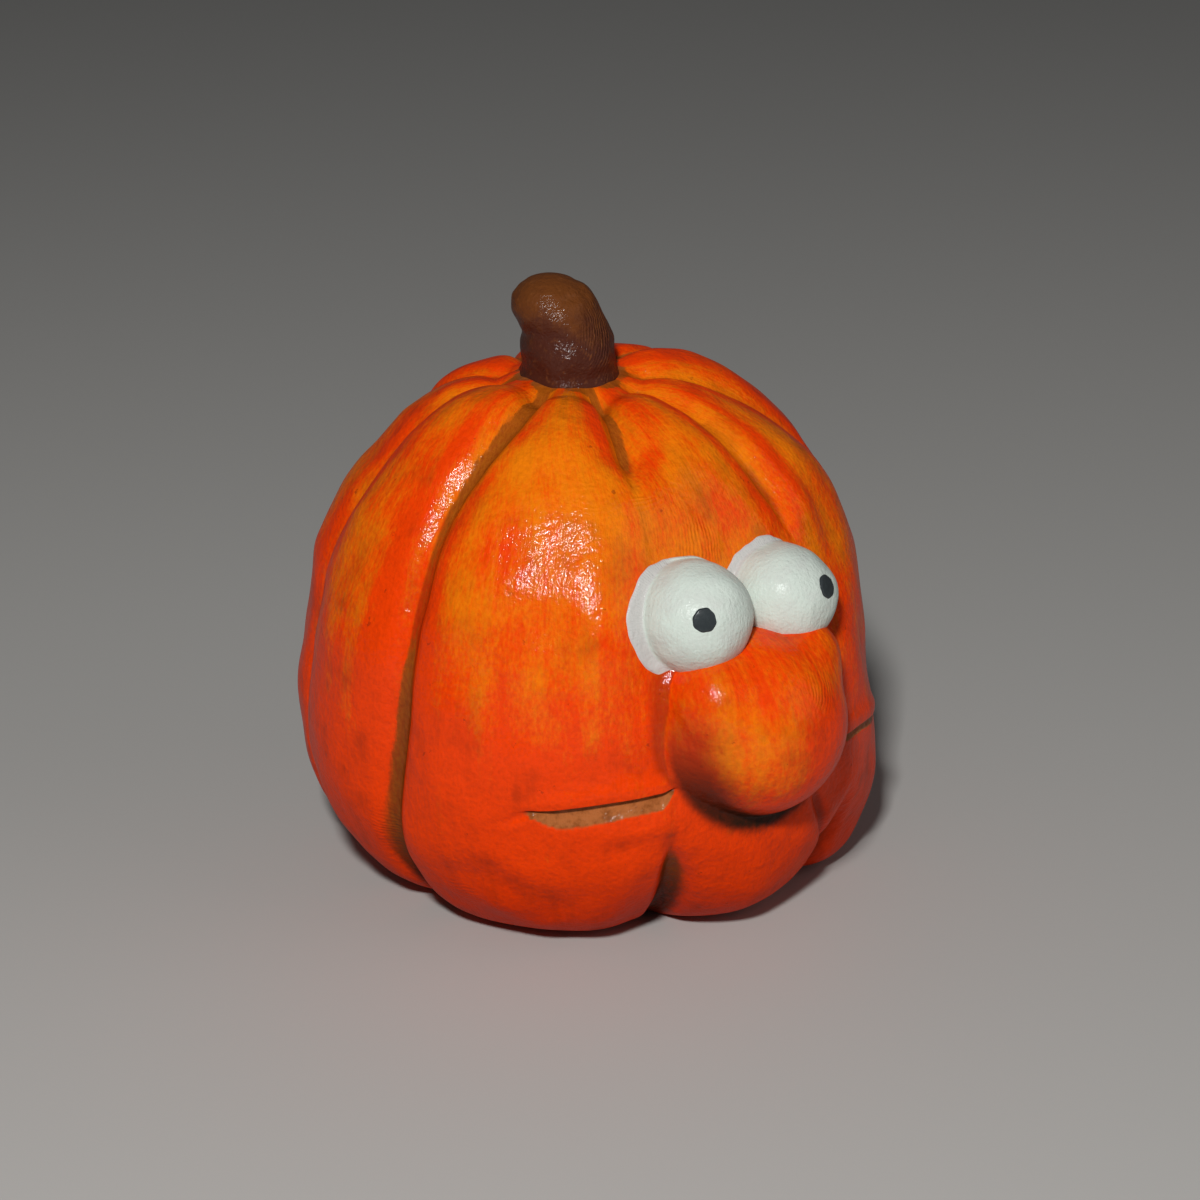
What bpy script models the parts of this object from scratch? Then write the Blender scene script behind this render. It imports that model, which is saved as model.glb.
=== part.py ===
"""Small hand-modelled clay pumpkin with a comic face, painted and varnished.

The pumpkin stands on its flat base with the face towards -Y and +X on its own left.
The rind is one surface: a turned profile whose columns follow the grooves between the ribs.
Finger presses, the mouth and the nose are pushed into that surface. Each eye is a ball with
an uneven skirt of clay, let into a socket. Each pupil is a pellet let into its eye, and the
stem stands on the crown. Shapes are worked out in millimetres and meshed in metres.
"""
import bpy
import numpy as np

MM = 0.001
GAP = 0.3

# Outline of the rind from the edge of the flat base to the seat of the stem: radius, height.
PROFILE = [(19.8, 0.0), (24.4, 1.8), (28.3, 5.4), (31.9, 11.8), (33.5, 21.3), (33.0, 30.6),
           (31.2, 39.8), (27.4, 48.4), (21.8, 55.2), (16.2, 59.3), (11.8, 60.9), (8.2, 60.9), (5.4, 60.4)]
TOP = 61.0
CROWN_SHIFT = (-1.7, 1.3)
CROWN_FROM = 50.0

# Grooves between the ribs: angle from the face at the base, the belly, the shoulder and the crown,
# depth, and half width on its two sides. A groove with a gap is smoothed away between its two inner
# heights.
GROOVES = [
    {"angles": (-150, -151, -152, -150), "depth": 2.3, "widths": (1.9, 1.9)},
    {"angles": (-112, -119, -115, -111), "depth": 2.0, "widths": (1.9, 1.6)},
    {"angles": (-86, -78.5, -77, -60), "depth": 2.6, "widths": (2.1, 1.6)},
    {"angles": (-17, -22, -24, -15), "depth": 3.0, "widths": (1.5, 2.3), "gap": (8.0, 16.0, 53.0, 58.0)},
    {"angles": (21, 22, 23, 26), "depth": 2.3, "widths": (1.5, 1.8), "gap": (8.0, 16.0, 44.0, 53.0)},
    {"angles": (66, 64, 62, 56), "depth": 2.2, "widths": (1.7, 1.9)},
    {"angles": (98, 97, 96, 94), "depth": 2.3, "widths": (1.9, 1.9)},
    {"angles": (132, 131, 130, 132), "depth": 2.1, "widths": (1.9, 1.9)},
    {"angles": (170, 169, 170, 172), "depth": 2.4, "widths": (1.9, 1.9)},
]
FLARE = 3.0

# Spacing of the surface's rows in millimetres and of its columns in degrees, on the face and behind.
ROW_STEP = 2.3
FACE_STEP = 3.4
BACK_STEP = 5.4
FACE_HALF = 60.0

# Soft presses of a thumb: angle, height, half angle, half height, push outwards.
PRESSES = [
    (0, 41, 31, 14, -5.0),
    (50, 9, 18, 9, 2.2),
    (46, 2, 22, 5, 2.2),
    (0, 6, 13, 7, 1.2),
    (54, 27, 20, 9, -1.1),
    (88, 60, 26, 8, 1.2),
    (-24, 3, 9, 6, -0.8),
    (-128, 13, 25, 10, 0.9),
    (-140, 57, 42, 9, -1.3),
    (-34, 39.5, 8.5, 9, 1.8),
]

# The mouth: a slit with a shelf below it, one run on each side of the nose. On the figure's left the
# shelf is slighter.
MOUTH_HEIGHT = 23.1
MOUTH_DROP = 3.3
MOUTH_END = 52.0
MOUTH_INNER = 22.5
MOUTH_DEPTH = 1.6
SHELF = 2.5
LEFT_SHARE = 0.5
LIP = 0.4
MOUTH_ROWS = (-1.3 * SHELF, -0.85 * SHELF, -0.5 * SHELF, -0.4, -0.1, 0.1, 0.9, 2.0)

# The nose: a ball with a shoulder under each eye.
NOSE = (-0.45, -29.8, 26.8)
NOSE_RADIUS = 10.75
NOSE_ROOT = (0.0, -8.0, 28.0)
SHOULDERS = [(5.5, -30.8, 31.4), (-6.9, -30.5, 32.0)]
SHOULDER_RADIUS = 4.75
SHOULDER_BLEND = 2.5

SKIRT_ANGLE = 104.0
SKIRT_HALF = 9.0
EYE_RINGS = 20
EYE_COLUMNS = 28
# Right eye (-X) and left eye (+X): centre, radius, outward direction, gaze, and how far the skirt
# reaches beyond the ball in eight directions, from the outer side by way of above, inner side and below.
EYES = {
    "right": {"centre": (-6.85, -27.7, 40.25), "radius": 6.25, "out": (-0.20, -0.96, 0.12),
              "gaze": (-0.47, -0.827, 0.315), "skirt": (2.1, 1.2, 0.4, 0.0, -0.1, 0.0, 0.8, 2.0)},
    "left": {"centre": (5.65, -27.6, 39.75), "radius": 5.95, "out": (0.20, -0.96, 0.12),
             "gaze": (0.364, -0.89, 0.381), "skirt": (0.4, 0.1, 0.7, 0.8, -0.1, 0.0, 0.0, 0.4)},
}
PUPIL_RADIUS = 1.35
PUPIL_DEPTH = 1.05
PUPIL_PROUD = 0.1
PUPIL_COLUMNS = 16

STEM_PATH = [(-1.7, 1.3, 60.7), (-1.8, 1.35, 62.5), (-2.1, 1.5, 65.0), (-2.9, 2.1, 67.8), (-3.6, 2.5, 71.4)]
STEM_RADII = [(0.0, 5.45), (0.12, 5.4), (0.35, 5.1), (0.65, 4.9), (0.8, 4.4), (0.92, 3.1), (0.985, 1.3)]
STEM_ROWS = 15
STEM_COLUMNS = 22


def ease(x, a, b):
    """Smooth ramp from 0 at a to 1 at b."""
    t = np.clip((x - a) / (b - a), 0.0, 1.0)
    return t * t * (3.0 - 2.0 * t)


def wrap(angle):
    """Angle brought into -180 to 180 degrees."""
    return (angle + 180.0) % 360.0 - 180.0


def unit(v):
    """Vector of length one."""
    v = np.asarray(v, dtype=float)
    return v / np.linalg.norm(v, axis=-1, keepdims=True)


def smooth_curve(points, steps=24):
    """Catmull-Rom curve through the points, with the length along it."""
    p = np.array(points, dtype=float)
    p = np.vstack([2 * p[0] - p[1], p, 2 * p[-1] - p[-2]])
    u = (np.arange(steps) / steps)[:, None]
    runs = []
    for a, b, c, d in zip(p[:-3], p[1:-2], p[2:-1], p[3:]):
        bend = (2 * a - 5 * b + 4 * c - d) * u**2 + (3 * b - a - 3 * c + d) * u**3
        runs.append(0.5 * (2 * b + (c - a) * u + bend))
    curve = np.vstack(runs + [p[-2:-1]])
    length = np.concatenate([[0.0], np.cumsum(np.linalg.norm(np.diff(curve, axis=0), axis=1))])
    return curve, length


def rind_profile():
    """Table of the rind's outline: length, radius, height and the two parts of its normal."""
    curve, length = smooth_curve(PROFILE)
    t = np.gradient(curve, length, axis=0)
    n = unit(np.stack([t[:, 1], -t[:, 0]], axis=-1))
    return length, curve[:, 0], curve[:, 1], n[:, 0], n[:, 1]


def groove_angle(groove, height):
    """Angle of a groove's line at each height."""
    return np.interp(height, [0.0, 0.45 * TOP, 0.9 * TOP, TOP], groove["angles"])


def mouth_height(angle):
    """Height of the mouth line at each angle: lowest at its two ends, level far round the side."""
    reach = np.clip(np.abs(wrap(angle)) / MOUTH_END, 0.0, 1.3)
    fade = 1.0 - ease(np.abs(wrap(angle)), 1.2 * MOUTH_END, 2.0 * MOUTH_END)
    return MOUTH_HEIGHT - MOUTH_DROP * reach**2 * fade


def mouth_push(angle, above):
    """Push of the mouth: a lip above the line, a sharp drop at it and a shelf that rises again below."""
    side = np.abs(wrap(angle))
    run = ease(side, MOUTH_INNER - 2.0, MOUTH_INNER + 1.5) * (1.0 - ease(side, MOUTH_END - 9.0, MOUTH_END))
    slight = np.where(wrap(angle) > 0.0, LEFT_SHARE, 1.0)
    shelf = SHELF * (0.3 + 0.7 * run) * slight
    drop = ease(-above, -0.1, 0.1) * (1.0 - np.clip(-above / shelf, 0.0, 1.0) ** 1.5)
    lip = np.exp(-((above - 0.7) / 1.1) ** 2) * ease(above, -0.1, 0.2)
    return run * (LIP * lip - MOUTH_DEPTH * slight * drop)


def rib_columns():
    """Column places: for each rib, the fractions from its first groove to the next, closer at the grooves."""
    places = []
    for k, groove in enumerate(GROOVES):
        here = groove["angles"][1]
        span = (GROOVES[(k + 1) % len(GROOVES)]["angles"][1] - here) % 360.0
        step = FACE_STEP if abs(wrap(here + 0.5 * span)) < FACE_HALF else BACK_STEP
        t = np.arange(round(span / step)) / round(span / step)
        places.append(t - 0.55 * np.sin(2.0 * np.pi * t) / (2.0 * np.pi))
    return places


def rind_rows():
    """Row places along the profile: even steps, with close rows about the mouth line."""
    length, _, height, _, _ = rind_profile()
    line = np.interp(MOUTH_HEIGHT, height[: len(height) // 2], length[: len(height) // 2])
    even = np.linspace(0.0, length[-1], round(length[-1] / ROW_STEP) + 1)
    close = line + np.array(MOUTH_ROWS)
    even = even[(even < close[0] - 0.5 * ROW_STEP) | (even > close[-1] + 0.5 * ROW_STEP)]
    return np.sort(np.concatenate([even, close])), line


def rind_surface(rows, mouth_line, places):
    """Grid of the rind before the nose: ribs, presses and mouth pushed along the profile's normal."""
    length, radius, height, out, up = rind_profile()
    level = np.interp(rows, length, height)
    angle = []
    for k, groove in enumerate(GROOVES):
        first = groove_angle(groove, level)
        turn = groove_angle(GROOVES[(k + 1) % len(GROOVES)], level) - first
        angle.append(first[:, None] + np.outer(turn % 360.0, places[k]))
    angle = np.hstack(angle)
    near = np.exp(-((rows - mouth_line) / 9.0) ** 2)[:, None]
    place = rows[:, None] + (mouth_height(angle) - MOUTH_HEIGHT) * near
    r = np.interp(place, length, radius)
    z = np.interp(place, length, height)
    out = np.interp(place, length, out)
    up = np.interp(place, length, up) * np.where(z < 0.5 * TOP, ease(z, 0.0, 6.0), 1.0)
    out, up = out / np.hypot(out, up), up / np.hypot(out, up)

    push = mouth_push(angle, place - mouth_line - (mouth_height(angle) - MOUTH_HEIGHT))
    for groove in GROOVES:
        line = groove_angle(groove, z)
        signed = np.radians(wrap(angle - line)) * np.maximum(r, 4.0)
        fade = np.ones_like(z)
        if "gap" in groove:
            low, gone, back, full = groove["gap"]
            fade = np.maximum(1.0 - ease(z, low, gone), ease(z, back, full))
        slim = (0.6 + 0.4 * ease(r, 6.0, 17.0)) * (0.3 + 0.7 * fade)
        away = np.abs(signed) / (np.where(signed < 0.0, *groove["widths"]) * slim)
        valley = fade * (0.5 * np.exp(-away**2.6) + 0.5 * np.exp(-(away / FLARE) ** 2))
        push -= groove["depth"] * valley
    for centre, at, half_angle, half_height, amount in PRESSES:
        push += amount * np.exp(-(wrap(angle - centre) / half_angle) ** 2 - ((z - at) / half_height) ** 2)
    push *= np.where(z > 0.5 * TOP, ease(r, 5.2, 9.5), 1.0)

    lean = ease(z, CROWN_FROM, TOP)
    turn = np.radians(angle)
    x = (r + push * out) * np.sin(turn) + CROWN_SHIFT[0] * lean
    y = -(r + push * out) * np.cos(turn) + CROWN_SHIFT[1] * lean
    return np.stack([x, y, z + push * up], axis=-1)


def far_side(ray, centre, radius):
    """Distance along each ray from inside the head to the far side of a ball."""
    arm = np.array(centre) - np.array(NOSE_ROOT)
    middle = ray @ arm
    inside = radius**2 - (arm @ arm - middle**2)
    chord = np.sqrt(np.abs(inside))
    fall = 3.0 - 2.0 * ease(-ray[..., 0], 0.08, 0.35)
    return np.where(middle > 0.0, middle + np.where(inside > 0.0, chord, -fall * chord), -100.0)


def smooth_maximum(reach, ball, blend):
    """The larger of the two distances, rounded off where they are within the blend."""
    share = np.clip(0.5 + 0.5 * (ball - reach) / blend, 0.0, 1.0)
    return reach + (ball - reach) * share + blend * share * (1.0 - share)


def with_nose(grid):
    """Pushes the grid out along rays from inside the head until it wraps the balls of the nose."""
    root = np.array(NOSE_ROOT)
    ray = grid - root
    reach = np.linalg.norm(ray, axis=-1)
    ray = ray / reach[..., None]
    blend = 1.0 + 1.6 * ease(ray[..., 2], -0.3, 0.1) + 3.2 * ease(-ray[..., 0], 0.08, 0.35)
    reach = smooth_maximum(reach, far_side(ray, NOSE, NOSE_RADIUS), blend)
    for centre in SHOULDERS:
        reach = smooth_maximum(reach, far_side(ray, centre, SHOULDER_RADIUS), SHOULDER_BLEND)
    return root + ray * reach[..., None]


def eye_surface(eye, grow=0.0):
    """Ball of the eye with its skirt: radius as a function of the angle from the outward direction."""
    out = unit(eye["out"])
    side = unit(np.cross((0.0, 0.0, 1.0), out)) * np.sign(out[0])
    up = np.cross(out, side) * np.sign(out[0])
    fine = SKIRT_ANGLE + 2.4 * SKIRT_HALF * np.linspace(-1.0, 1.0, EYE_RINGS // 2 + 1)
    front = np.linspace(0.0, fine[0], EYE_RINGS // 2)[1:-1]
    back = np.linspace(fine[-1], 180.0, EYE_RINGS // 5)[1:-1]
    polar = np.radians(np.concatenate([front, fine, back]))[::-1, None]
    turn = np.sign(out[0]) * (2.0 * np.pi * np.arange(EYE_COLUMNS) / EYE_COLUMNS)[None, :]
    eighth = (turn / (2.0 * np.pi) * 8.0) % 8.0
    first = np.floor(eighth).astype(int)
    reach = np.array(eye["skirt"])
    share = ease(eighth - first, 0.0, 1.0)
    reach = reach[first % 8] * (1.0 - share) + reach[(first + 1) % 8] * share
    half = np.radians(SKIRT_HALF + 8.0 * grow)
    skirt = np.exp(-np.abs((polar - np.radians(SKIRT_ANGLE)) / half) ** 2.5)
    radius = eye["radius"] + grow + (reach + grow) * skirt
    points = np.cos(polar)[..., None] * out + np.sin(polar)[..., None] * (
        np.cos(turn)[..., None] * side + np.sin(turn)[..., None] * up)
    return np.array(eye["centre"]) + radius[..., None] * points


def pellet_surface(eye, radius, depth, crown):
    """Round pellet along the gaze: flat floor, straight wall and a domed face that follows a ball."""
    axis = unit(eye["gaze"])
    side = unit(np.cross(axis, (0.0, 0.0, 1.0)))
    up = np.cross(side, axis)
    wide = radius * np.array([1.0, 1.0, 0.55])
    lift = np.concatenate([[eye["radius"] - depth], np.sqrt(crown**2 - wide[1:] ** 2)])
    turn = 2.0 * np.pi * np.arange(PUPIL_COLUMNS) / PUPIL_COLUMNS
    ring = np.cos(turn)[:, None] * side - np.sin(turn)[:, None] * up
    return np.array(eye["centre"]) + wide[:, None, None] * ring[None] + lift[:, None, None] * axis


def stem_surface():
    """Leaning stem: rings of changing radius carried along its path, a little lumpy."""
    curve, length = smooth_curve(STEM_PATH)
    along = 1.0 - (1.0 - np.linspace(0.0, 1.0, STEM_ROWS)) ** 1.5
    along = along * STEM_RADII[-1][0]
    centre = np.stack([np.interp(along * length[-1], length, curve[:, k]) for k in range(3)], axis=-1)
    radius = np.interp(along, *np.array(STEM_RADII).T)[:, None]
    turn = (2.0 * np.pi * np.arange(STEM_COLUMNS) / STEM_COLUMNS)[None, :]
    lump = 1.0 + 0.05 * np.sin(turn + 5.0 * along[:, None]) + 0.03 * np.sin(2.0 * turn - 7.0 * along[:, None])
    x = centre[:, :1] + radius * lump * np.cos(turn)
    y = centre[:, 1:2] + radius * lump * np.sin(turn)
    return np.stack([x, y, np.repeat(centre[:, 2:], STEM_COLUMNS, axis=1)], axis=-1)


def add_grid(name, grid):
    """Mesh object of a grid whose columns close on themselves, with a face over each open end."""
    rows, columns, _ = grid.shape
    row = np.arange(rows - 1)[:, None] * columns
    here = np.arange(columns)[None, :]
    after = (here + 1) % columns
    quads = np.stack([row + here, row + after, row + columns + after, row + columns + here], axis=-1)
    faces = quads.reshape(-1, 4).tolist()
    faces.append(list(range(columns - 1, -1, -1)))
    faces.append(list(range((rows - 1) * columns, rows * columns)))
    mesh = bpy.data.meshes.new(name)
    mesh.from_pydata((grid.reshape(-1, 3) * MM).tolist(), [], faces)
    mesh.shade_smooth()
    mesh.set_sharp_from_angle(angle=np.radians(50.0))
    obj = bpy.data.objects.new(name, mesh)
    bpy.context.scene.collection.objects.link(obj)
    return obj


def paint(obj, colour, roughness):
    """Painted clay: one colour and its sheen."""
    material = bpy.data.materials.new(obj.name)
    material.use_nodes = True
    shader = material.node_tree.nodes["Principled BSDF"]
    shader.inputs["Base Color"].default_value = (*colour, 1.0)
    shader.inputs["Roughness"].default_value = roughness
    shader.inputs["Metallic"].default_value = 0.0
    obj.data.materials.append(material)


def cut(obj, cutter):
    """Takes the cutter's shape out of the object."""
    cutter.hide_render = True
    cutter.display_type = "WIRE"
    modifier = obj.modifiers.new(cutter.name, "BOOLEAN")
    modifier.operation = "DIFFERENCE"
    modifier.object = cutter


def build_pumpkin():
    """The rind with ribs, mouth and nose in one piece."""
    rows, line = rind_rows()
    pumpkin = add_grid("pumpkin", with_nose(rind_surface(rows, line, rib_columns())))
    paint(pumpkin, (0.80, 0.13, 0.01), 0.4)
    return pumpkin


def build_eye(name, eye, pumpkin):
    """One eye with its pupil, and the socket that they leave in the rind."""
    ball = add_grid("eye_" + name, eye_surface(eye))
    paint(ball, (0.66, 0.70, 0.64), 0.4)
    cut(pumpkin, add_grid("socket_" + name, eye_surface(eye, grow=GAP)))
    face = eye["radius"] + PUPIL_PROUD
    pupil = add_grid("pupil_" + name, pellet_surface(eye, PUPIL_RADIUS, PUPIL_DEPTH, face))
    paint(pupil, (0.03, 0.032, 0.034), 0.3)
    seat = pellet_surface(eye, PUPIL_RADIUS + GAP, PUPIL_DEPTH + GAP, face + 1.0)
    cut(ball, add_grid("seat_" + name, seat))


def build_stem():
    """The stem on the crown."""
    stem = add_grid("stem", stem_surface())
    paint(stem, (0.10, 0.035, 0.018), 0.4)


def main():
    """Clears the scene and builds the pieces."""
    for obj in list(bpy.data.objects):
        bpy.data.objects.remove(obj, do_unlink=True)
    pumpkin = build_pumpkin()
    for name, eye in EYES.items():
        build_eye(name, eye, pumpkin)
    build_stem()


main()
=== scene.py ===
"""Looks of a small hand-modelled clay pumpkin with a comic face, painted and varnished.

Each visible piece is a surface of two parameters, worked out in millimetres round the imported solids:
the rind is a turned profile whose columns follow the grooves, the eyes are balls with a skirt, the
pupils are domed dots and the stem is a profile carried along a leaning path. The solids follow the
same formulas with nearly the same sizes: a few forms were fitted closer to the photo here. The scene
adds the finer relief of the clay, the paint, the varnish and a plain studio.
"""
import logging
from dataclasses import dataclass, field
from enum import Enum
from typing import Any

import bpy
import numpy as np
from mathutils import Matrix, Vector


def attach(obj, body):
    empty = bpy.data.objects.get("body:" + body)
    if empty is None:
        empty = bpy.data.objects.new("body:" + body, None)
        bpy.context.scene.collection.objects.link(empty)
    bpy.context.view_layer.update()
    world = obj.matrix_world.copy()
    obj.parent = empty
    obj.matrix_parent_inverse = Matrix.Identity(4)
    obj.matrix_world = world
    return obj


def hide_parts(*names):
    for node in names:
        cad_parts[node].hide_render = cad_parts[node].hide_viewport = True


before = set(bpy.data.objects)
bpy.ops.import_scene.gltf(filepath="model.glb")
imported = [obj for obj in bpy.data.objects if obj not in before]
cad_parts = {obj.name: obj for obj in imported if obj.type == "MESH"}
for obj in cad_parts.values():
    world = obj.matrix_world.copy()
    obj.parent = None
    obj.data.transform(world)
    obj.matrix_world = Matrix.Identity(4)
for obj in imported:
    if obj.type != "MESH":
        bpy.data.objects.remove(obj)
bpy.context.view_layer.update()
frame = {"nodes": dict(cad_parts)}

MM = 0.001
LOG = logging.getLogger("pumpkin")
Array = np.ndarray
Triple = tuple[float, float, float]
Tree = bpy.types.NodeTree
Socket = bpy.types.NodeSocket
Material = bpy.types.Material
SHADER = "Principled BSDF"
SHARP_DEGREES = 75.0
SPECULAR = 0.03
GROOVE_HEIGHTS = (0.0, 27.45, 50.0)
CROWN_RISE = 11.0


def ease(x: Array | float, a: float, b: float) -> Array:
    """Smooth ramp.

    Args:
        x: Values to place on the ramp.
        a: Value where the ramp leaves 0.
        b: Value where it reaches 1.

    Returns:
        3t^2 - 2t^3 with t the clipped share of the way from a to b.
    """
    t = np.clip((np.asarray(x, dtype=float) - a) / (b - a), 0.0, 1.0)
    return t * t * (3.0 - 2.0 * t)


def wrap(angle: Array | float) -> Array:
    """Angle brought into -180 to 180 degrees."""
    return (np.asarray(angle, dtype=float) + 180.0) % 360.0 - 180.0


def bell(x: Array, centre: float, half: float) -> Array:
    """Gaussian hill: e to the minus squared share of the half width."""
    return np.exp(-(((x - centre) / half) ** 2))


def unit(v: Any) -> Array:
    """Vectors brought to length one along their last axis."""
    v = np.asarray(v, dtype=float)
    return v / np.linalg.norm(v, axis=-1, keepdims=True)


def linear(code: str) -> tuple[float, float, float, float]:
    """Turns an sRGB hex colour into linear light.

    Args:
        code: Six hex digits after a hash sign.

    Returns:
        Red, green and blue in linear light, and an alpha of one.
    """
    parts = np.array([int(code[i:i + 2], 16) for i in (1, 3, 5)]) / 255.0
    light = np.where(parts <= 0.04045, parts / 12.92, ((parts + 0.055) / 1.055) ** 2.4)
    return (*light.tolist(), 1.0)


def add(tree: Tree, kind: str, inputs: dict[Any, Any] | None = None, **settings: Any) -> bpy.types.Node:
    """Adds a shader node with its settings and links.

    Args:
        tree: Node tree that gets the node.
        kind: Type of the node without the ShaderNode in front.
        inputs: Value or output socket for each input, by its name or number.
        **settings: Properties of the node itself.

    Returns:
        The new node.
    """
    node = tree.nodes.new("ShaderNode" + kind)
    for key, value in settings.items():
        setattr(node, key, value)
    for key, value in (inputs or {}).items():
        if isinstance(value, Socket):
            tree.links.new(value, node.inputs[key])
        else:
            node.inputs[key].default_value = value
    return node


def maths(tree: Tree, operation: str, *values: Any) -> Socket:
    """Output of a Math node working on up to three values or sockets."""
    return add(tree, "Math", dict(enumerate(values)), operation=operation).outputs[0]


def plus(tree: Tree, value: Any, factor: Any, rest: Any) -> Socket:
    """Output of a value times a factor, added to the rest."""
    return maths(tree, "MULTIPLY_ADD", value, factor, rest)


def times(tree: Tree, value: Any, factor: Any) -> Socket:
    """Output of a value times a factor."""
    return maths(tree, "MULTIPLY", value, factor)


def ramp(tree: Tree, value: Any, low: float, high: float, *ends: float) -> Socket:
    """Output of a smooth ramp from low to high, between 0 and 1 or the two ends given."""
    inputs = {0: value, 1: low, 2: high} | dict(zip((3, 4), ends))
    return add(tree, "MapRange", inputs, interpolation_type="SMOOTHSTEP").outputs[0]


def blend(tree: Tree, share: Any, first: Any, second: Any) -> Socket:
    """Output of a mix of two colours, each a socket or an sRGB hex code."""
    pair = [linear(c) if isinstance(c, str) else c for c in (first, second)]
    return add(tree, "Mix", {0: share, 6: pair[0], 7: pair[1]}, data_type="RGBA").outputs[2]


def grain(tree: Tree, place: Any, scale: Triple | float, detail: float = 2.0) -> Socket:
    """Output of a noise over places in millimetres, with its waves per millimetre."""
    waves = scale if isinstance(scale, tuple) else (scale, scale, scale)
    spread = add(tree, "VectorMath", {0: place, 1: waves}, operation="MULTIPLY").outputs[0]
    inputs = {"Vector": spread, "Scale": 1.0, "Detail": detail, "Roughness": 0.6}
    return add(tree, "TexNoise", inputs).outputs[0]


def read(tree: Tree, name: str) -> Socket:
    """Output of one of the values that a piece carries."""
    return add(tree, "Attribute", attribute_name=name).outputs["Fac"]


def millimetres(tree: Tree) -> Socket:
    """Output of the Object coordinates in millimetres."""
    where = add(tree, "TexCoord").outputs["Object"]
    return add(tree, "VectorMath", {0: where, 3: 1.0 / MM}, operation="SCALE").outputs[0]


def away_from(tree: Tree, place: Any, spot: Triple) -> Socket:
    """Output of the distance from a spot in millimetres."""
    return add(tree, "VectorMath", {0: place, 1: spot}, operation="DISTANCE").outputs["Value"]


def ridges(tree: Tree, span: Socket, period: float, mask: Socket) -> Socket:
    """Output of a fingerprint's ridges: a sine over the distance from its core, times a mask."""
    return times(tree, maths(tree, "SINE", times(tree, span, 2.0 * np.pi / period)), mask)


def paint(tree: Tree, colour: Socket) -> None:
    """Links a colour to the shader's base colour."""
    tree.links.new(colour, tree.nodes[SHADER].inputs["Base Color"])


def relief(tree: Tree, height: Any, depth: float, grains: float = 0.0) -> None:
    """Gives the shader a relief, and its coat half as deep a one with finer grains on top.

    Args:
        tree: Node tree of the material.
        height: Height of the relief, about 0 to 1.
        depth: Depth that one stands for, in millimetres.
        grains: Share of grains of a quarter of a millimetre in the coat, which glint one by one.
    """
    shader = tree.nodes[SHADER]
    bump = add(tree, "Bump", {"Strength": 1.0, "Distance": depth * MM, "Height": height}).outputs[0]
    tree.links.new(bump, shader.inputs["Normal"])
    if grains:
        height = plus(tree, grain(tree, millimetres(tree), 4.0, 1.0), grains, height)
    bump = add(tree, "Bump", {"Strength": 1.0, "Distance": 0.5 * depth * MM, "Height": height}).outputs[0]
    tree.links.new(bump, shader.inputs["Coat Normal"])


def new_finish(name: str, roughness: float, coat: float, coat_roughness: float) -> Material:
    """Material with a varnished shader, named for what it is."""
    material = bpy.data.materials.new(name)
    material.use_nodes = True
    inputs = material.node_tree.nodes[SHADER].inputs
    inputs["Roughness"].default_value = roughness
    inputs["Specular IOR Level"].default_value = SPECULAR
    inputs["Coat Weight"].default_value = coat
    inputs["Coat Roughness"].default_value = coat_roughness
    return material


def link(name: str, data: Any) -> bpy.types.Object:
    """Object for some data, linked to the scene."""
    obj = bpy.data.objects.new(name, data)
    bpy.context.scene.collection.objects.link(obj)
    return obj


def turns(columns: int) -> Array:
    """Even turns round a circle in radians, from zero."""
    return 2.0 * np.pi * np.arange(columns) / columns


@dataclass(frozen=True)
class Curve:
    """Catmull-Rom curve through given points, read by the length along it."""

    points: tuple[tuple[float, ...], ...]
    steps: int = 40

    def table(self) -> tuple[Array, Array]:
        """Fine points of the curve and the length up to each.

        Each stretch is half of 2b + (c - a)u + (2a - 5b + 4c - d)u^2 + (3b - a - 3c + d)u^3.

        Returns:
            Points on the curve, and the length along it at each.
        """
        p = np.array(self.points, dtype=float)
        p = np.vstack([2 * p[0] - p[1], p, 2 * p[-1] - p[-2]])
        u = (np.arange(self.steps) / self.steps)[:, None]
        a, b, c, d = p[:-3, None], p[1:-2, None], p[2:-1, None], p[3:, None]
        runs = 2 * b + (c - a) * u + (2 * a - 5 * b + 4 * c - d) * u**2 + (3 * b - a - 3 * c + d) * u**3
        curve = np.vstack([0.5 * runs.reshape(-1, p.shape[1]), p[-2:-1]])
        length = np.concatenate([[0.0], np.cumsum(np.linalg.norm(np.diff(curve, axis=0), axis=1))])
        return curve, length


@dataclass(frozen=True)
class Lumps:
    """Unevenness left by fingers: a sum of sine waves in seeded directions."""

    seed: int
    layers: tuple[tuple[float, float], ...]
    waves: int = 9

    def height(self, points: Array) -> Array:
        """Height of the lumps at each point.

        Each layer adds its amplitude times the mean of sines of (direction . point) 2 pi / wavelength
        + phase, over a few directions.

        Args:
            points: Places in millimetres, with x, y, z along the last axis.

        Returns:
            Height in millimetres at each place.
        """
        rng = np.random.default_rng(self.seed)
        total = np.zeros(points.shape[:-1])
        for wavelength, amplitude in self.layers:
            directions = unit(rng.normal(size=(3, self.waves)).T).T * (2.0 * np.pi / wavelength)
            phases = rng.uniform(0.0, 2.0 * np.pi, self.waves)
            total += amplitude * np.sin(points @ directions + phases).sum(axis=-1) / np.sqrt(0.5 * self.waves)
        return total


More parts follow.
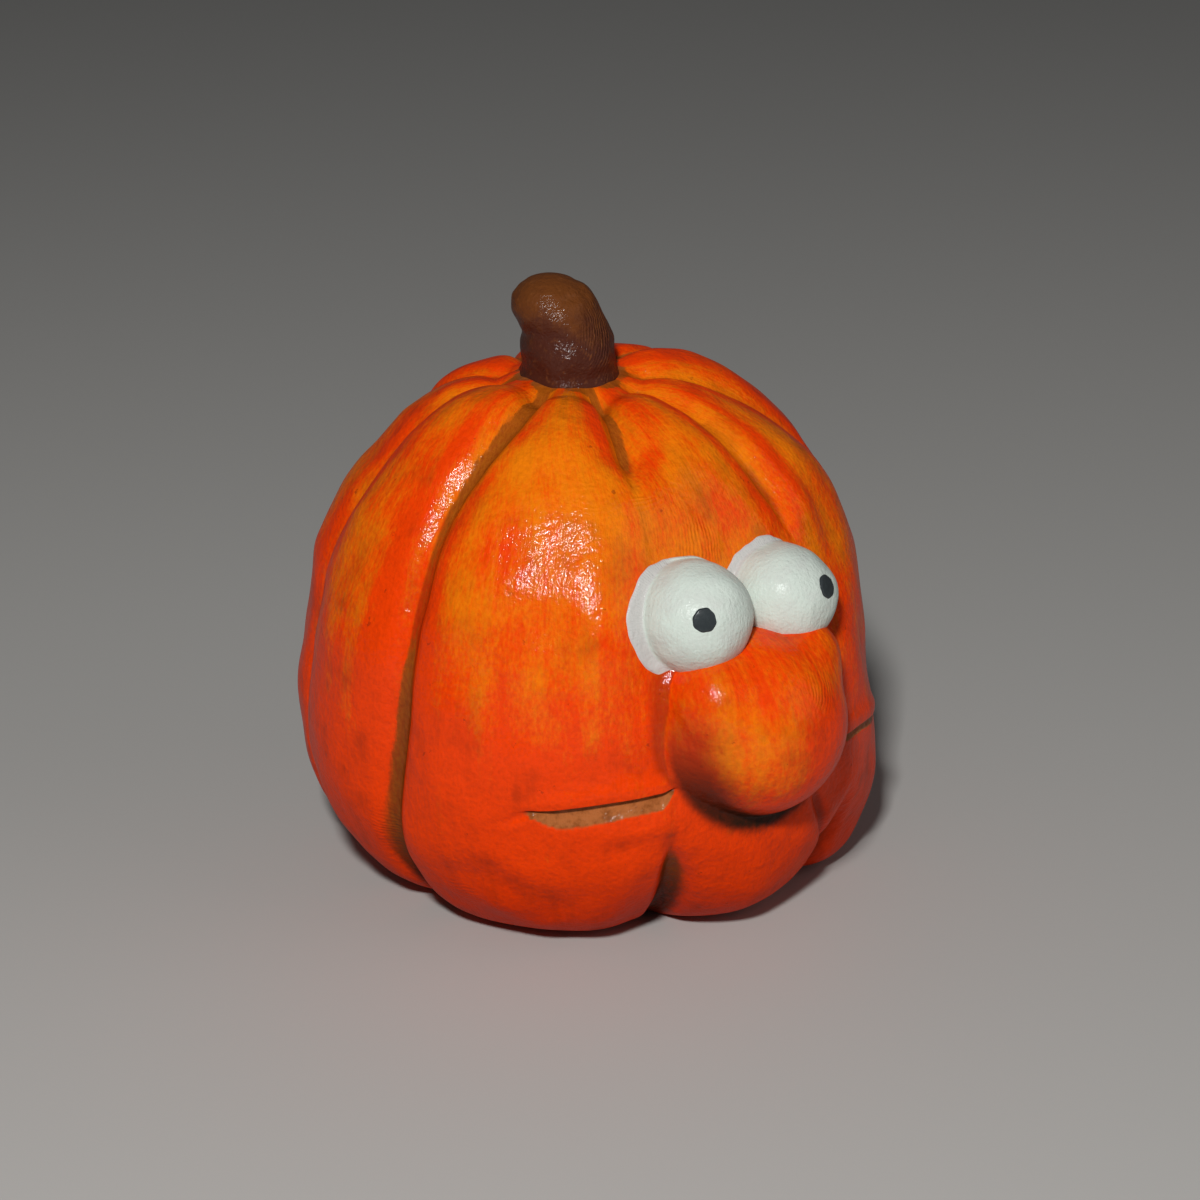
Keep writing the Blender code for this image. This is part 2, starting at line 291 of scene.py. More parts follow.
@dataclass
class Skin:
    """Grid of points whose columns close on themselves, with named values that the paint reads."""

    points: Array
    values: dict[str, Array] = field(default_factory=dict)

    def normals(self) -> Array:
        """Outward normals: the cross product of the steps along the columns and along the rows."""
        across = np.roll(self.points, -1, axis=1) - np.roll(self.points, 1, axis=1)
        along = np.gradient(self.points, axis=0)
        return unit(np.cross(across, along) + 1e-12)

    def hollow(self, reach: int) -> Array:
        """How far each point lies below the mean of its neighbours.

        Args:
            reach: Number of rows and columns that the mean takes in on each side.

        Returns:
            Millimetres along the normal from the point to the mean, more than zero in a hollow.
        """
        mean = self.points
        for axis in (0, 1):
            pad = [(reach, reach) if k == axis else (0, 0) for k in range(3)]
            wide = np.pad(mean, pad, mode="wrap" if axis == 1 else "edge")
            total = np.cumsum(wide, axis=axis)
            total = np.insert(total, 0, 0.0, axis=axis)
            span = 2 * reach + 1
            upper = np.take(total, np.arange(span, total.shape[axis]), axis=axis)
            lower = np.take(total, np.arange(0, total.shape[axis] - span), axis=axis)
            mean = (upper - lower) / span
        return np.sum((mean - self.points) * self.normals(), axis=-1)

    def to_object(self, name: str) -> bpy.types.Object:
        """Makes the mesh object: quads between neighbours and a fan of triangles over each open end.

        Args:
            name: Name of the object and its mesh.

        Returns:
            The linked object, at the origin, with its values as attributes.
        """
        rows, columns, _ = self.points.shape
        row = np.arange(rows - 1)[:, None] * columns
        here = np.arange(columns)[None, :]
        after = (here + 1) % columns
        quads = np.stack([row + here, row + after, row + columns + after, row + columns + here], axis=-1)
        first, last = rows * columns, rows * columns + 1
        ring, turned = here[0], after[0]
        under = np.stack([turned, ring, np.full(columns, first)], axis=-1)
        top = (rows - 1) * columns
        over = np.stack([ring + top, turned + top, np.full(columns, last)], axis=-1)
        ends = [self.points[0].mean(axis=0), self.points[-1].mean(axis=0)]
        places = np.vstack([self.points.reshape(-1, 3), *ends])
        faces = quads.reshape(-1, 4).tolist() + under.tolist() + over.tolist()
        mesh = bpy.data.meshes.new(name)
        mesh.from_pydata((places * MM).tolist(), [], faces)
        for key, value in self.values.items():
            vector = value.ndim == 3
            flat = value.reshape(-1, 3) if vector else value.reshape(-1)
            flat = np.concatenate([flat, value[0].mean(axis=0)[None], value[-1].mean(axis=0)[None]])
            layer = mesh.attributes.new(key, "FLOAT_VECTOR" if vector else "FLOAT", "POINT")
            layer.data.foreach_set("vector" if vector else "value", flat.astype(np.float32).ravel())
        mesh.shade_smooth()
        mesh.set_sharp_from_angle(angle=np.radians(SHARP_DEGREES))
        return link(name, mesh)


class Side(Enum):
    """Side of the figure, with the sign of its X."""

    RIGHT = -1
    LEFT = 1


@dataclass(frozen=True)
class Groove:
    """Valley between two ribs, from the base over the belly to the crown."""

    base: float
    belly: float
    crown: float
    top: float
    depth: float
    widths: tuple[float, float]
    stain: float = 1.0
    gap: tuple[float, float, float, float] | None = None

    def angle(self, height: Array) -> Array:
        """Angle of the valley's line: straight runs to a height of 50, then a bend that grows as t^1.6."""
        bend = np.clip((height - GROOVE_HEIGHTS[-1]) / CROWN_RISE, 0.0, 1.0) ** 1.6
        line = np.interp(height, GROOVE_HEIGHTS, (self.base, self.belly, self.crown))
        return line + (self.top - self.crown) * bend

    def fade(self, height: Array) -> Array:
        """One where the valley has its full depth, zero in its gap."""
        if self.gap is None:
            return np.ones_like(height)
        low, gone, back, full = self.gap
        return np.maximum(1.0 - ease(height, low, gone), ease(height, back, full))

    def valley(self, angle: Array, radius: Array, height: Array, flare: float) -> tuple[Array, Array, Array]:
        """Share of the valley's depth at each place.

        With d the distance round the rind over the width on that side, half of the share is
        e^-d^2.6, a flat floor with steep sides, and half is e^-(d / flare)^2, the ribs' rounding. The
        widths shrink towards the stem and where the valley fades out.

        Args:
            angle: Angle round the rind in degrees.
            radius: Distance from the axis.
            height: Height above the base.
            flare: Width of the rounding over the floor's.

        Returns:
            The share, the share of the paint left on the floor, narrower half way up, and a band along
            both of the valley's edges.
        """
        signed = np.radians(wrap(angle - self.angle(height))) * np.maximum(radius, 4.0)
        fade = self.fade(height)
        slim = (0.6 + 0.4 * ease(radius, 6.0, 17.0)) * (0.3 + 0.7 * fade)
        away = np.abs(signed) / (np.where(signed < 0.0, self.widths[0], self.widths[1]) * slim)
        floor = np.exp(-(away**2.6))
        share = 0.5 * floor + 0.5 * np.exp(-((away / flare) ** 2))
        slit = 1.0 + 0.9 * bell(height, 42.0, 10.0)
        if self.gap is not None:
            slit = slit + (2.0 - 1.6 * fade) * ease(height, 30.0, 40.0)
        paint = np.exp(-((slit * away) ** 2.6))
        band = np.exp(-(((away - 1.9) / 0.9) ** 2))
        return share * fade, paint * fade, band * fade


@dataclass(frozen=True)
class Press:
    """Soft press of a thumb: a Gaussian push at an angle and a height."""

    angle: float
    height: float
    half_angle: float
    half_height: float
    amount: float

    def push(self, angle: Array, height: Array) -> Array:
        """Push outwards in millimetres: the amount times a hill in angle and in height."""
        return self.amount * bell(wrap(angle - self.angle), 0.0, self.half_angle) * bell(
            height, self.height, self.half_height)


@dataclass(frozen=True)
class Mouth:
    """Slit with a ledge below it, one run on each side of the nose, slighter on the figure's left."""

    height: float = 23.1
    drop: float = 3.3
    end: float = 52.0
    inner: float = 22.5
    depth: float = 1.6
    shelf: float = 2.5
    lip: float = 0.4
    hang: float = 0.3
    left_share: float = 0.5

    def line(self, angle: Array) -> Array:
        """Height of the mouth line: a parabola in the angle, level again far round the side."""
        side = np.abs(wrap(angle))
        fade = 1.0 - ease(side, 1.2 * self.end, 2.0 * self.end)
        return self.height - self.drop * np.clip(side / self.end, 0.0, 1.3) ** 2 * fade

    def form(self, angle: Array, above: Array) -> tuple[Array, Array, Array, Array]:
        """Relief of the mouth at a height above its line.

        A lip swells above the line and hangs over it. Below the line the surface drops in sharply,
        comes half way out again within a quarter of a millimetre, and the ledge slopes out from there
        as one minus its share of the way to the power 1.6.

        Args:
            angle: Angle round the rind in degrees.
            above: Height above the mouth line, less than zero below it.

        Returns:
            Push outwards and downwards in millimetres, the share of the ledge's paint and of the painted
            shadow along the line under the lip.
        """
        side = np.abs(wrap(angle))
        run = ease(side, self.inner - 2.0, self.inner + 1.5) * (1.0 - ease(side, self.end - 9.0, self.end))
        slight = np.where(wrap(angle) > 0.0, self.left_share, 1.0)
        shelf = (self.shelf + 0.5 * bell(side, self.end - 12.0, 7.0)) * (0.12 + 0.88 * run) * slight
        below = np.maximum(-above, 0.0)
        ledge = 0.45 * np.exp(-((below / 0.3) ** 2)) + 0.55 * (1.0 - np.clip(below / shelf, 0.0, 1.0) ** 1.6)
        lip = bell(above, 0.7, 1.1) * ease(above, -0.05, 0.15)
        push = run * (self.lip * lip - self.depth * slight * ledge * ease(below, 0.0, 0.1))
        hang = self.hang * run * np.exp(-((above / 0.55) ** 2)) * ease(above, -0.08, 0.05)
        paint = ease(below, 0.0, 0.12) * (1.0 - ease(below / shelf, 0.75, 1.1)) * ease(run, 0.05, 0.35)
        line = bell(below, 0.2, 0.28) * ease(below, 0.0, 0.05) * ease(run, 0.0, 0.3)
        return push, hang, paint, line


@dataclass(frozen=True)
class Nose:
    """Ball of clay with a shoulder under each eye, that the rind is drawn over."""

    centre: Triple = (-0.45, -29.8, 27.35)
    radius: float = 10.65
    shoulders: tuple[Triple, ...] = ((5.3, -30.8, 33.4), (-6.8, -30.6, 32.1))
    shoulder_radius: float = 4.75
    shoulder_blend: float = 2.5
    root: Triple = (0.0, -8.0, 28.0)

    def right(self, ray: Array) -> Array:
        """Share of the side towards the figure's right cheek, where the clay is smeared softly."""
        return ease(-ray[..., 0], 0.08, 0.35) * ease(ray[..., 2], -0.38, -0.1)

    @staticmethod
    def join(reach: Array, ball: Array, soft: Array | float) -> tuple[Array, Array]:
        """Smooth maximum b + (a - b) s + k s (1 - s) of a ball's reach a and the reach b, and the share s."""
        share = np.clip(0.5 + 0.5 * (ball - reach) / soft, 0.0, 1.0)
        return reach + (ball - reach) * share + soft * share * (1.0 - share), share

    def far_side(self, ray: Array, centre: Triple, radius: float) -> Array:
        """Distance along each ray to the far side of a ball.

        It is m + sqrt(r^2 - q^2), with m the middle of the chord and q its distance from the centre.
        Rays that miss the ball get a value that falls off, fastest on the figure's left.

        Args:
            ray: Directions from the root, of length one.
            centre: Centre of the ball.
            radius: Radius of the ball.

        Returns:
            The distance for each ray.
        """
        arm = np.array(centre) - np.array(self.root)
        middle = ray @ arm
        inside = radius**2 - (arm @ arm - middle**2)
        chord = np.sqrt(np.abs(inside))
        fall = 3.0 - 2.7 * self.right(ray)
        return np.where(middle > 0.0, middle + np.where(inside > 0.0, chord, -fall * chord), -100.0)

    def wrap_round(self, points: Array) -> tuple[Array, Array, Array]:
        """Pushes points out along rays from inside the head until they wrap the balls.

        Each ball is blended in with a polynomial smooth maximum, b + (a - b) s + k s (1 - s), softer
        above and on the figure's right side. The weight of the painted shade round the nose is e^-(gap /
        w)^2, with the gap between the ball and the rind along the ray and w wider where the blend is softer,
        under the nose and on the ball.

        Args:
            points: Places on the rind in millimetres.

        Returns:
            The pushed places, the share of the nose at each and the weight of the painted shade round the
            nose's edge, highest close to it.
        """
        root = np.array(self.root)
        ray = points - root
        reach = np.linalg.norm(ray, axis=-1)
        ray = ray / reach[..., None]
        side = self.right(ray)
        soft = 0.7 + 1.9 * ease(ray[..., 2], -0.3, 0.1) + 6.6 * side
        ball = self.far_side(ray, self.centre, self.radius)
        gap = ball - reach
        below = 1.5 * ease(-ray[..., 2], 0.15, 0.4)
        width = np.where(gap > 0.0, 3.0 + 2.6 * side, 2.0 + 1.8 * side + below)
        nose_shade = np.exp(-((gap / width) ** 2))
        reach, nose = self.join(reach, ball, soft)
        for centre in self.shoulders:
            ball = self.far_side(ray, centre, self.shoulder_radius)
            reach, share = self.join(reach, ball, self.shoulder_blend * (1.0 + side))
            nose = np.maximum(nose, share)
        return root + ray * reach[..., None], nose, nose_shade


@dataclass(frozen=True)
class Eye:
    """Ball with a thin uneven skirt of clay pressed on the rind, and the direction it looks in."""

    side: Side
    centre: Triple
    out: Triple
    gaze: Triple
    skirt: tuple[float, ...]
    seed: int
    radius: float
    thickness: float = 0.55
    ball_rings: int = 80
    skirt_rings: int = 24
    columns: int = 260
    drape_limit: float = 0.4
    smooth: int = 17

    @property
    def tag(self) -> str:
        """Word for the eye's side."""
        return self.side.name.lower()

    def reach(self, turn: Array) -> Array:
        """Width of the skirt at each turn.

        Eight values round the eye are joined smoothly, and seeded sines of 5 to 23 waves give its edge
        the short straight stretches and nicks of pinched clay.

        Args:
            turn: Turn round the eye in radians, zero on the outer side and a quarter turn above.

        Returns:
            Width in millimetres.
        """
        eighth = (turn / (2.0 * np.pi) * 8.0) % 8.0
        first = np.floor(eighth).astype(int)
        share = ease(eighth - first, 0.0, 1.0)
        values = np.array(self.skirt)
        width = values[first % 8] * (1.0 - share) + values[(first + 1) % 8] * share
        phases = np.random.default_rng(self.seed).uniform(0.0, 2.0 * np.pi, 3)
        ragged = 0.14 * np.sin(5.0 * turn + phases[0]) + 0.16 * np.abs(np.sin(5.5 * turn + phases[1]))
        ragged = ragged + 0.05 * np.sin(23.0 * turn + phases[2])
        return np.maximum(width + ragged * ease(width, 0.0, 0.8), 0.08)

    def surface(self, rind: "Rind") -> Skin:
        """Ball down to where it meets the rind, then the skirt lying on the rind, then a closed back.

        Rows are rings round the outward direction. The ball is R (cos p out + sin p ring), up to the
        angle p at which it meets the skirt. The skirt's rings lie on the rind, raised by a thickness
        that thins to its edge. Smoothing along the rows fills the corner between the two. Where there is
        no skirt the ball goes on into the rind.

        Args:
            rind: The rind that the skirt lies on.

        Returns:
            The grid, with the share of the skirt and the turn round the eye at each point.
        """
        out = unit(self.out)
        side = unit(np.cross((0.0, 0.0, 1.0), out)) * self.side.value
        up = np.cross(out, side) * self.side.value
        turn = -np.pi + turns(self.columns)
        ring = np.cos(turn)[:, None] * side + np.sin(turn)[:, None] * up
        centre = np.array(self.centre)
        polar = np.full(self.columns, 0.5 * np.pi)
        width = self.reach(turn)
        laid = ease(width, 0.1, 0.5)
        for _ in range(4):
            spots = centre + self.radius * np.sin(polar)[:, None] * ring
            depth = np.minimum(rind.drape(spots, out), self.drape_limit) + self.thickness
            polar = np.arccos(np.clip(depth / self.radius, -0.3, 0.9)) * laid + 1.8 * (1.0 - laid)
        share = np.linspace(0.02, 1.0, self.ball_rings)[:, None] ** 0.9
        angles = share * polar
        ball = centre + self.radius * (np.cos(angles)[..., None] * out + np.sin(angles)[..., None] * ring)
        start = self.radius * np.sin(polar)
        step = np.linspace(0.0, 1.0, self.skirt_rings)[:, None]
        wide = start + width * step
        spots = centre + wide[..., None] * ring
        resting = np.minimum(rind.drape(spots, out), self.drape_limit) * laid
        depth = resting + (self.radius * np.cos(polar) - self.thickness) * (1.0 - laid)
        lift = depth + self.thickness * (1.0 - 0.7 * step**0.8)
        skirt = spots + lift[..., None] * out
        edge = spots[-1:] + (depth[-1:] - 0.35)[..., None] * out
        under = centre + (0.75 * wide[-1:, :, None]) * ring + (depth[-1:] - 1.6)[..., None] * out
        back = centre + (0.1 * wide[-1:, :, None]) * ring - 0.9 * self.radius * out
        front = np.concatenate([ball, skirt[1:], edge])
        kernel = np.hanning(self.smooth)[1:-1] / np.hanning(self.smooth).sum()
        half = len(kernel) // 2
        padded = np.pad(front, ((half, half), (0, 0), (0, 0)), mode="edge")
        front = sum(weight * padded[k:k + len(front)] for k, weight in enumerate(kernel))
        points = np.concatenate([front, under, back])[::-1]
        lumps = Lumps(self.seed, ((8.0, 0.07), (3.5, 0.03), (1.6, 0.008)))
        points = points + lumps.height(points)[..., None] * unit(points - centre)
        sheet = np.concatenate([np.zeros(self.ball_rings - 3), ease(np.arange(6), 0, 5)])
        sheet = np.concatenate([sheet, np.ones(len(points) - len(sheet))])[::-1, None]
        width = ease(width, 0.1, 0.8)[None, :]
        if self.side is Side.RIGHT:
            points = points[:, ::-1]
            width = width[:, ::-1]
            turn = turn[::-1]
        return Skin(points, {"skirt": sheet * width, "turn": turn[None, :] * np.ones_like(sheet)})


@dataclass(frozen=True)
class Pupil:
    """Dot of dark clay on an eye, with a slightly uneven rim."""

    eye: Eye
    radius: float = 1.33
    proud: float = 0.1
    depth: float = 1.05
    rings: int = 26
    columns: int = 96

    def surface(self) -> Skin:
        """Domed dot as a function of the share of the way to its rim and the turn round the gaze.

        The face follows a ball a little larger than the eye and rounds down at the rim; the wall goes
        back into the eye. The rim is a circle with a faint eighth harmonic.

        Returns:
            The grid of the dot.
        """
        axis = unit(self.eye.gaze)
        side = unit(np.cross(axis, (0.0, 0.0, 1.0)))
        up = np.cross(side, axis)
        turn = turns(self.columns)[None, :]
        rim = self.radius * (1.0 + 0.02 * np.cos(8.0 * turn + self.eye.seed) + 0.02 * np.sin(3.0 * turn))
        inwards = np.linspace(1.0, 0.0, self.rings, endpoint=False) ** 0.8
        share = np.concatenate([[1.0, 1.0], inwards])[:, None]
        wide = share * rim
        top = self.eye.radius + self.proud - 0.12 * ease(share, 0.86, 1.0) ** 2
        lift = np.sqrt(np.maximum(top**2 - wide**2, 0.0))
        lift[0] = self.eye.radius - self.depth
        lift[1] = lift[2] - 0.25
        ring = np.cos(turn)[..., None] * side - np.sin(turn)[..., None] * up
        return Skin(np.array(self.eye.centre) + wide[..., None] * ring + lift[..., None] * axis)


@dataclass(frozen=True)
class Stem:
    """Short bent stem: rings of changing radius along a leaning path, folded over on one side."""

    path: Curve = Curve(((-1.7, 1.3, 57.9), (-1.72, 1.3, 60.0), (-1.8, 1.35, 62.5), (-2.1, 1.5, 65.0),
                         (-2.9, 2.1, 67.8), (-3.6, 2.5, 71.4)))
    radii: tuple[tuple[float, float], ...] = (
        (0.0, 5.6), (0.12, 5.55), (0.2, 5.4), (0.32, 5.15), (0.5, 4.95), (0.7, 4.9), (0.83, 4.5),
        (0.905, 3.7), (0.957, 2.6), (0.985, 1.5), (0.998, 0.4))
    rows: int = 170
    columns: int = 170
    seed: int = 11
    view_turn: float = 232.0

    def surface(self) -> Skin:
        """Rings carried along the path, with broad lumps, a fold under the knob and a bulge below it.

        Returns:
            The grid, with the share of the way up at each point.
        """
        curve, length = self.path.table()
        along = 1.0 - (1.0 - np.linspace(0.0, 1.0, self.rows)) ** 1.7
        along = along * self.radii[-1][0]
        centre = np.stack([np.interp(along * length[-1], length, curve[:, k]) for k in range(3)], axis=-1)
        radius = np.interp(along, *np.array(self.radii).T)
        kernel = np.hanning(11)[1:-1]
        radius = np.convolve(np.pad(radius, 4, mode="edge"), kernel / kernel.sum(), mode="valid")[:, None]
        turn = turns(self.columns)[None, :]
        place = along[:, None]
        front = 0.5 + 0.5 * np.cos(turn - np.radians(self.view_turn - 25.0))
        left = 0.5 + 0.5 * np.cos(turn - np.radians(self.view_turn - 90.0))
        fold = 0.6 - 0.1 * front + 0.03 * np.sin(2.0 * turn)
        relief = -0.42 * left**2 * bell(place - fold, 0.0, 0.08)
        relief = relief + 0.35 * front * bell(place, 0.33, 0.12) + 0.4 * left * bell(place, 0.45, 0.12)
        relief = relief + 0.25 * bell(place, 0.75, 0.12) * (0.5 + 0.5 * np.cos(turn - np.radians(170.0)))
        ragged = 0.12 * np.sin(3.0 * turn + 1.0) + 0.08 * np.sin(7.0 * turn)
        relief = relief + (0.25 + ragged) * bell(place, 0.13, 0.05)
        x = centre[:, :1] + (radius + relief) * np.cos(turn)
        y = centre[:, 1:2] + (radius + relief) * np.sin(turn)
        skin = Skin(np.stack([x, y, np.repeat(centre[:, 2:], self.columns, axis=1)], axis=-1))
        lumps = Lumps(self.seed, ((9.0, 0.1), (4.5, 0.06), (2.2, 0.03)))
        raised = lumps.height(skin.points) * ease(1.0 - place, 0.0, 0.1)
        skin.points = skin.points + raised[..., None] * skin.normals()
        skin.values = {"up": place - 0.12 * front, "hollow": skin.hollow(7)}
        return skin


@dataclass(frozen=True)
class Fold:
    """Crease or ridge of the clay between two places given by their angle and height."""

    start: tuple[float, float]
    end: tuple[float, float]
    push: float
    width: float
    roll: float = 0.0

    def form(self, angle: Array, radius: Array, height: Array) -> Array:
        """Push along the fold.

        With d the signed distance from its line, positive below, it is the push times e^-(d / w)^2 plus
        the roll times a hill two widths below the line. Both taper to the ends.

        Args:
            angle: Angle round the rind in degrees.
            radius: Distance from the axis.
            height: Height above the base.

        Returns:
            Push outwards in millimetres.
        """
        scale = np.radians(1.0) * np.maximum(radius, 6.0)
        run = np.array([wrap(self.end[0] - self.start[0]), self.end[1] - self.start[1]])
        span = np.hypot(run[0] * scale, run[1])
        x = wrap(angle - self.start[0]) * scale
        y = height - self.start[1]
        along = (x * run[0] * scale + y * run[1]) / span**2
        across = (x * run[1] - y * run[0] * scale) / span
        taper = ease(along, -0.15, 0.25) * (1.0 - ease(along, 0.75, 1.15))
        crease = self.push * bell(across, 0.0, self.width)
        return taper * (crease + self.roll * bell(across, 2.0 * self.width, self.width))


@dataclass(frozen=True)
class Rind:
    """The pumpkin's body with its ribs, mouth and nose in one surface."""

    outline: Curve = Curve(((19.8, 0.0), (24.4, 1.8), (28.3, 5.4), (31.9, 11.8), (33.5, 21.3), (33.0, 30.6),
                            (31.2, 39.8), (27.4, 48.4), (21.8, 55.2), (16.2, 59.3), (11.8, 60.9), (8.2, 60.9),
                            (5.0, 60.3)))
    top: float = 61.0
    crown_shift: tuple[float, float] = (-1.7, 1.3)
    crown_from: float = 50.0
    moat: float = 0.3
    flare: float = 3.0
    grooves: tuple[Groove, ...] = (
        Groove(-150, -151, -152, -150, 2.3, (1.8, 1.8), 0.9),
        Groove(-112, -119, -115, -111, 2.0, (1.9, 1.5), 0.85),
        Groove(-86, -78.5, -77, -60, 2.6, (2.1, 1.5), 1.0),
        Groove(-17, -25, -24, -15, 3.0, (1.4, 2.0), 1.0, (9.0, 18.0, 53.0, 58.0)),
        Groove(33, 22, 23, 26, 2.3, (1.4, 1.8), 0.55, (8.0, 16.0, 44.0, 53.0)),
        Groove(66, 64, 62, 56, 2.2, (1.6, 1.9), 0.7),
        Groove(98, 97, 96, 94, 2.3, (1.8, 1.8), 0.9),
        Groove(132, 131, 130, 132, 2.1, (1.8, 1.8), 0.8),
        Groove(170, 169, 170, 172, 2.4, (1.8, 1.8), 0.95),
    )
    presses: tuple[Press, ...] = (
        Press(0, 41, 31, 14, -5.0),
        Press(50, 9, 18, 9, 2.2),
        Press(46, 2, 22, 5, 2.2),
        Press(0, 6, 13, 7, 1.2),
        Press(54, 27, 20, 9, -1.1),
        Press(88, 60, 26, 8, 1.2),
        Press(-24, 3, 9, 6, -0.8),
        Press(-128, 13, 25, 10, 0.9),
        Press(-140, 57, 42, 9, -1.3),
        Press(-34, 39.5, 8.5, 9, 1.8),
        Press(36, 47, 4, 6, -0.5),
    )
    folds: tuple[Fold, ...] = (
        Fold((-72.0, 10.2), (-54.0, 11.2), -0.35, 2.0, 0.25),
        Fold((-58.0, 11.3), (-40.0, 7.0), -0.45, 2.2, 0.3),
        Fold((-36.0, 17.4), (-20.0, 18.2), 0.3, 1.2, -0.15),
        Fold((-54.0, 18.4), (-48.0, 20.2), -0.25, 0.5, 0.1),
        Fold((12.0, 17.5), (27.0, 6.0), -1.0, 0.8),
    )
    mouth: Mouth = Mouth()
    nose: Nose = Nose()
    row_count: int = 292
    face_step: float = 0.74
    back_step: float = 1.6
    face_half: float = 62.0
    seed: int = 5

    def profile(self) -> tuple[Array, Array, Array, Array, Array]:
        """Length along the outline, and the radius, height and normal there."""
        curve, length = self.outline.table()
        slope = np.gradient(curve, length, axis=0)
        normal = unit(np.stack([slope[:, 1], -slope[:, 0]], axis=-1))
        return length, curve[:, 0], curve[:, 1], normal[:, 0], normal[:, 1]

    def climb(self) -> tuple[Array, Array]:
        """Length along the outline and the height there, from the base to the highest ring."""
        length, _, height, _, _ = self.profile()
        rise = int(np.argmax(height))
        return length[:rise], height[:rise]

    def mouth_place(self) -> float:
        """Length along the outline at the height of the mouth line."""
        length, _, height, _, _ = self.profile()
        half = len(height) // 2
        return float(np.interp(self.mouth.height, height[:half], length[:half]))

    def form(self, angle: Array, place: Array) -> tuple[Array, dict[str, Array]]:
        """Rind at an angle and a length along the outline.

        Radius and height come from the turned outline. The sum of the valleys, the presses, the folds,
        the mouth and the lumps is pushed along its normal. Rings near the crown shift towards the stem,
        a moat sinks round it, and the nose is wrapped last.

        Args:
            angle: Angle round the axis in degrees, from the front towards the figure's left.
            place: Length along the outline in millimetres.

        Returns:
            Points in millimetres, and the values that the paint reads.
        """
        length, radius, height, outward, upward = self.profile()
        r = np.interp(place, length, radius)
        z = np.interp(place, length, height)
        out = np.interp(place, length, outward)
        up = np.interp(place, length, upward) * np.where(z < 0.5 * self.top, ease(z, 0.0, 6.0), 1.0)
        out, up = out / np.hypot(out, up), up / np.hypot(out, up)
        sag = self.mouth.line(angle) - self.mouth.height
        push, hang, ledge, slit = self.mouth.form(angle, place - self.mouth_place() - sag)
        floor = np.zeros_like(push)
        band = np.zeros_like(push)
        for groove in self.grooves:
            share, inner, outer = groove.valley(angle, r, z, self.flare)
            push = push - groove.depth * share
            floor = np.maximum(floor, inner * groove.stain * (1.0 - 0.36 * bell(z, 42.0, 10.0)))
            band = np.maximum(band, outer)
        for press in self.presses:
            push = push + press.push(angle, z)
        for fold in self.folds:
            push = push + fold.form(angle, r, z)
        crown = z > 0.5 * self.top
        push = push * np.where(crown, ease(r, 5.0, 8.5), 1.0)
        moat = np.where(crown, 1.0 - ease(r, 5.6, 7.6), 0.0)
        turn = np.radians(angle)
        spot = np.stack([r * np.sin(turn), -r * np.cos(turn), z], axis=-1)
        lumps = Lumps(self.seed, ((16.0, 0.15), (8.0, 0.07), (4.0, 0.022)))
        push = push + lumps.height(spot) * ease(z, 0.5, 5.0)
        lean = ease(z, self.crown_from, self.top)
        x = (r + push * out) * np.sin(turn) + self.crown_shift[0] * lean
        y = -(r + push * out) * np.cos(turn) + self.crown_shift[1] * lean
        points = np.stack([x, y, z + push * up - hang - self.moat * moat], axis=-1)
        points, nose, nose_shade = self.nose.wrap_round(points)
        belly = float(np.max(radius))
        flow = [belly * np.sin(turn), belly * np.cos(turn), place * np.ones_like(turn)]
        values = {
            "floor": np.maximum(floor, moat * (1.0 - 0.3 * np.cos(9.0 * turn + 1.0))),
            "band": band,
            "ledge": ledge,
            "slit": slit,
            "nose": nose,
            "nose_shade": nose_shade,
            "flow": np.stack(flow, axis=-1),
        }
        return points, values

    def drape(self, spots: Array, along: Array) -> Array:
        """Distance from each spot along a direction to the rind.

        Points of the rind a third of a millimetre apart are weighted by e^(0.7 h - (d / 0.4)^2), with d
        their distance from the line through the spot and h their distance along it. The result is the
        weighted mean of h.

        Args:
            spots: Places near the rind in millimetres, with x, y, z along the last axis.
            along: Direction of length one, roughly outwards.

        Returns:
            Distance in millimetres, less than zero where the rind lies behind the spot.
        """
        length, height = self.climb()
        flat = spots.reshape(-1, 3)
        turn = np.degrees(np.arctan2(flat[:, 0], -flat[:, 1]))
        low, high = np.interp([flat[:, 2].min() - 3.0, flat[:, 2].max() + 3.0], height, length)
        angles = np.arange(turn.min() - 8.0, turn.max() + 8.0, 0.7)
        angle, place = np.meshgrid(angles, np.arange(low, high, 0.33))
        points = self.form(angle.ravel(), place.ravel())[0]
        distance = np.empty(len(flat))
        for start in range(0, len(flat), 512):
            gap = points[None] - flat[start:start + 512, None]
            ahead = gap @ along
            weight = 0.7 * ahead - (np.sum(gap**2, axis=-1) - ahead**2) / 0.16
            weight = np.exp(weight - weight.max(axis=1, keepdims=True))
            distance[start:start + 512] = np.sum(weight * ahead, axis=1) / np.sum(weight, axis=1)
        return distance.reshape(spots.shape[:-1])

    def columns(self) -> list[Array]:
        """Places of the columns: for each rib, fractions from its first groove to the next.

        Returns:
            One array for each rib, t - 0.4 sin(2 pi t) / 2 pi, so columns lie closer at the grooves.
        """
        places = []
        for k, groove in enumerate(self.grooves):
            span = (self.grooves[(k + 1) % len(self.grooves)].belly - groove.belly) % 360.0
            step = self.face_step if abs(wrap(groove.belly + 0.5 * span)) < self.face_half else self.back_step
            t = np.arange(round(span / step)) / round(span / step)
            places.append(t - 0.4 * np.sin(2.0 * np.pi * t) / (2.0 * np.pi))
        return places

    def rows(self) -> Array:
        """Places of the rows along the outline, closest at the mouth line."""
        length = self.profile()[0]
        line = self.mouth_place()
        fine = np.linspace(0.0, length[-1], 4000)
        count = np.cumsum(1.0 + 4.5 * bell(fine, line, 0.7) + 0.5 * bell(fine, line - 1.0, 4.0))
        count = (count - count[0]) / (count[-1] - count[0])
        return np.interp(np.linspace(0.0, 1.0, self.row_count), count, fine)

